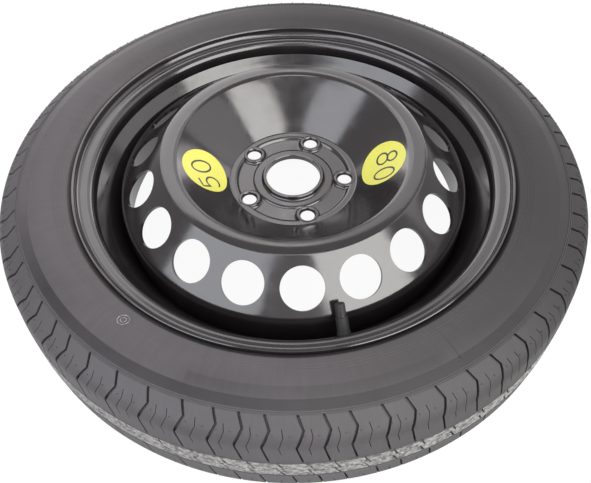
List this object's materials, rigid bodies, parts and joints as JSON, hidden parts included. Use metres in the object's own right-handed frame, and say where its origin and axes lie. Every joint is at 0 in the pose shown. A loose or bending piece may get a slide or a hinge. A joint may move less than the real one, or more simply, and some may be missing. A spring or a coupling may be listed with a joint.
{
  "type": "spare wheel",
  "caption": "Narrow temporary-use spare wheel: tubeless tyre on a pressed and welded steel wheel, with a snap-in valve, screw cap and two round speed stickers.",
  "frame": {"origin": "centre of the bolt circle, on the mounting face that seats on the hub", "axes": "+Z along the axle, away from the car (outboard); +X towards the sticker with the number 80"},
  "size_m": [0.633, 0.633, 0.1428],
  "materials": {
    "tyre_rubber": "matt dark grey tyre rubber, slightly dusty",
    "black_paint": "gloss black stoved paint on pressed steel",
    "valve_rubber": "matt black moulded rubber",
    "valve_brass": "turned brass",
    "core_seal": "soft black seal rubber",
    "spring_steel": "fine bright spring wire",
    "cap_plastic": "ribbed dark moulded plastic",
    "sticker_yellow": "smooth yellow film with thin black numbers"
  },
  "bodies": {
    "wheel": {"tyre": "tyre_rubber", "rim": "black_paint", "disc": "black_paint", "disc_welds": "black_paint", "valve_rubber": "valve_rubber", "valve_stem": "valve_brass", "core_plug": "valve_brass", "core_barrel": "valve_brass", "core_gasket": "core_seal", "core_spring": "spring_steel", "sticker_80": "sticker_yellow", "sticker_50": "sticker_yellow"},
    "cap_washer": {"cap_washer": "core_seal"},
    "valve_cap": {"valve_cap": "cap_plastic"},
    "core": {"core_pin": "valve_brass", "core_cup": "valve_brass", "core_cup_seal": "core_seal"}
  },
  "joints": [
    {"name": "cap_lift", "type": "slide", "parent": "wheel", "child": "cap_washer", "axis": [-0.1439, 0.6492, 0.7468], "range_m": [0, 0.00794]},
    {"name": "cap_turn", "type": "hinge", "parent": "cap_washer", "child": "valve_cap", "pos_m": [0.04529, -0.20428, 0.00514], "axis": [-0.1439, 0.6492, 0.7468], "range_deg": [0, 3600]},
    {"name": "core_press", "type": "slide", "parent": "wheel", "child": "core", "axis": [0.1439, -0.6492, -0.7468], "range_m": [0, 0.0015], "stiffness_N_per_m": 400, "springref_m": -0.002, "deforming": ["core_spring"]}
  ],
  "couplings": [
    {"joint": "cap_turn", "follows": "cap_lift", "rad_per_m": 7913.3}
  ]
}
